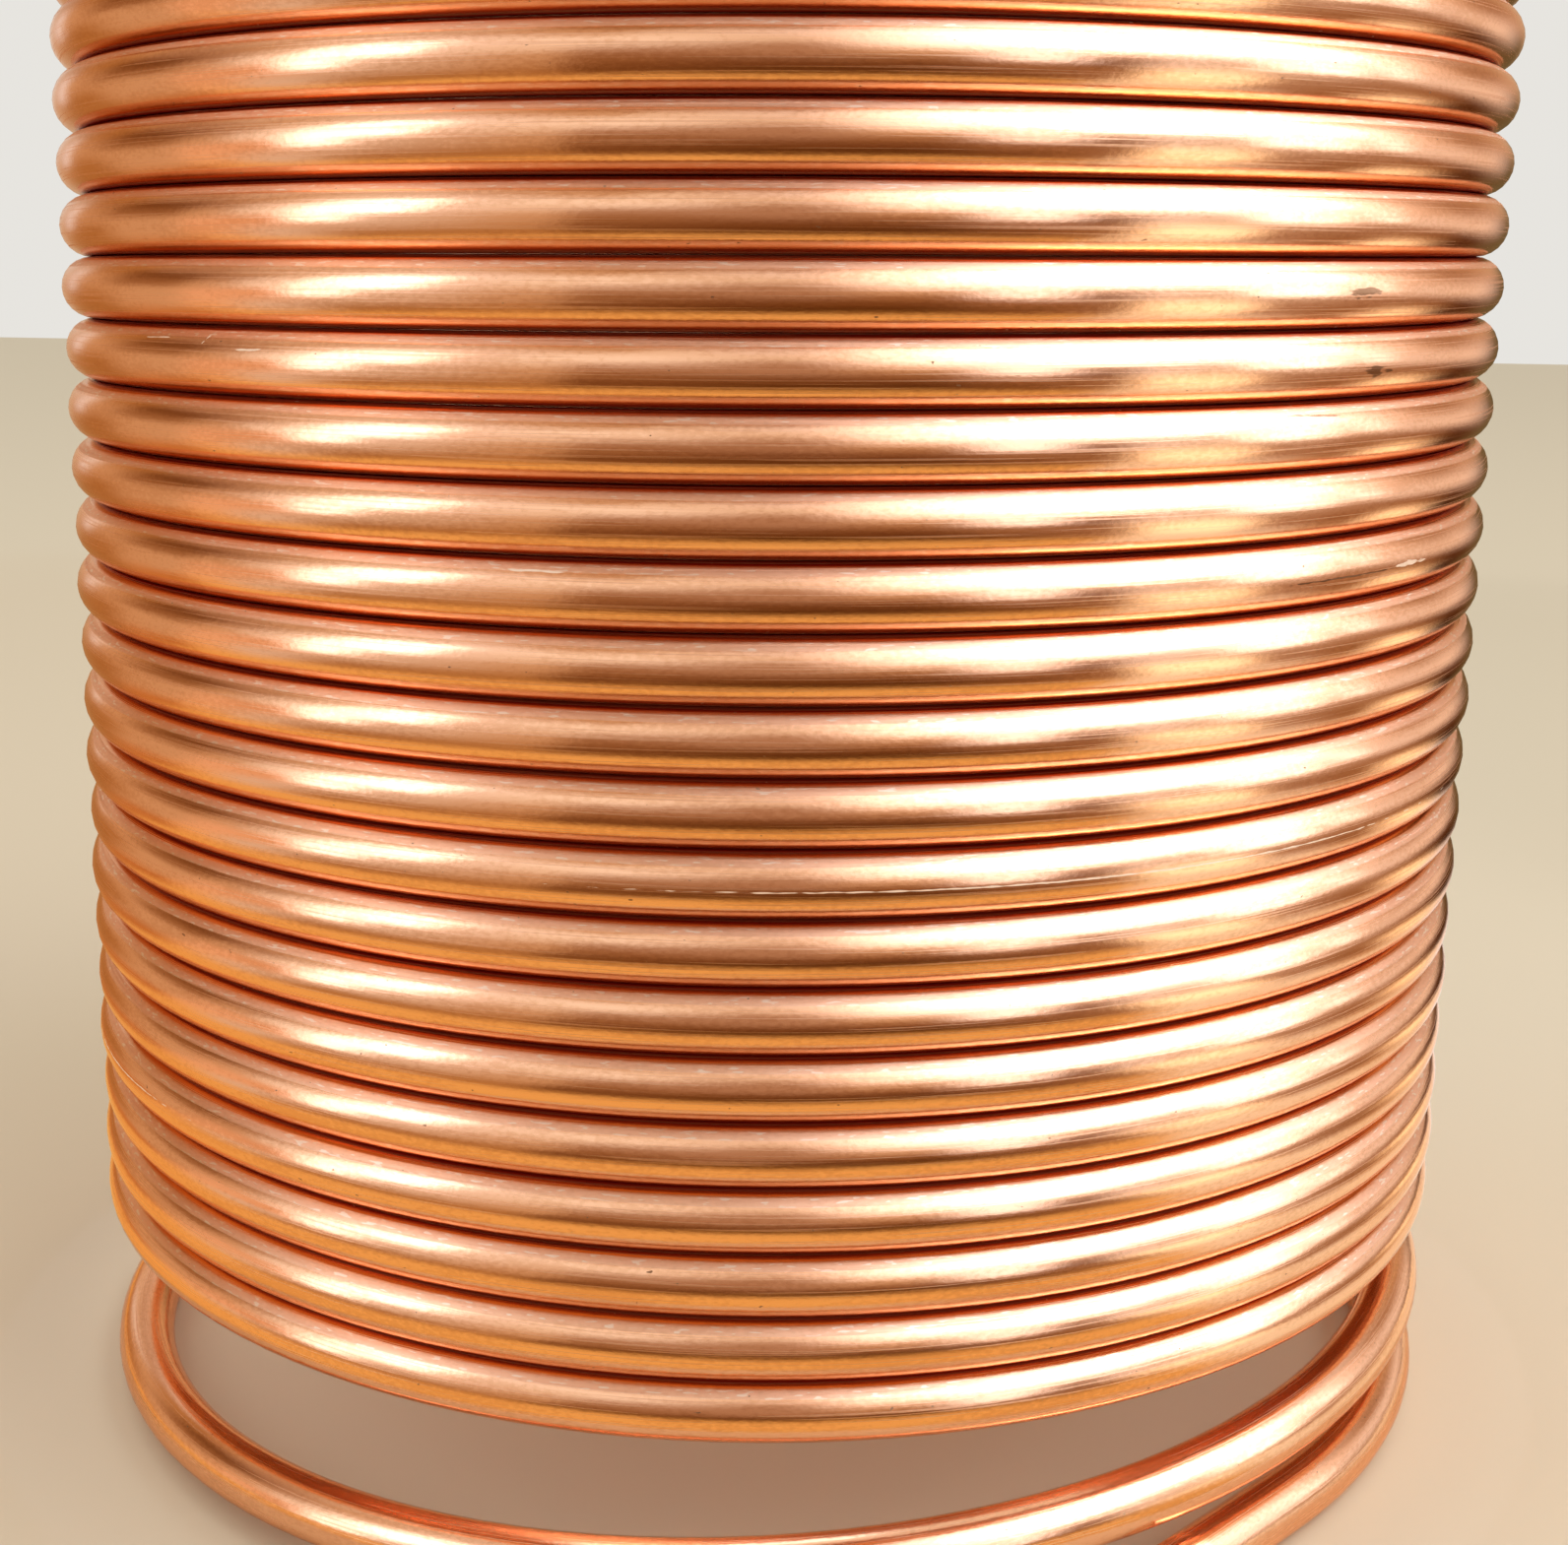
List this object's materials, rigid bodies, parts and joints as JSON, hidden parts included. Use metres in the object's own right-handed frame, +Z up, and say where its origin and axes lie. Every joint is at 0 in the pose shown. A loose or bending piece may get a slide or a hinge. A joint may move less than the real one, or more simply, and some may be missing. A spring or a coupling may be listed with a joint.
{
  "type": "copper wire coil",
  "caption": "Coil of bright solid round copper wire standing on its end: a tight single-layer stack of turns with its lowest turn sprung loose and a short straight cut end.",
  "frame": {"origin": "on the floor, on the coil's axis", "axes": "+Z up along the coil's axis; -Y is the side that the picture shows; the loose turn comes down to the floor at -X"},
  "size_m": [0.202, 0.202, 0.2176],
  "materials": {
    "copper": null
  },
  "bodies": {
    "root": {"wire_coil": "copper"}
  },
  "joints": []
}
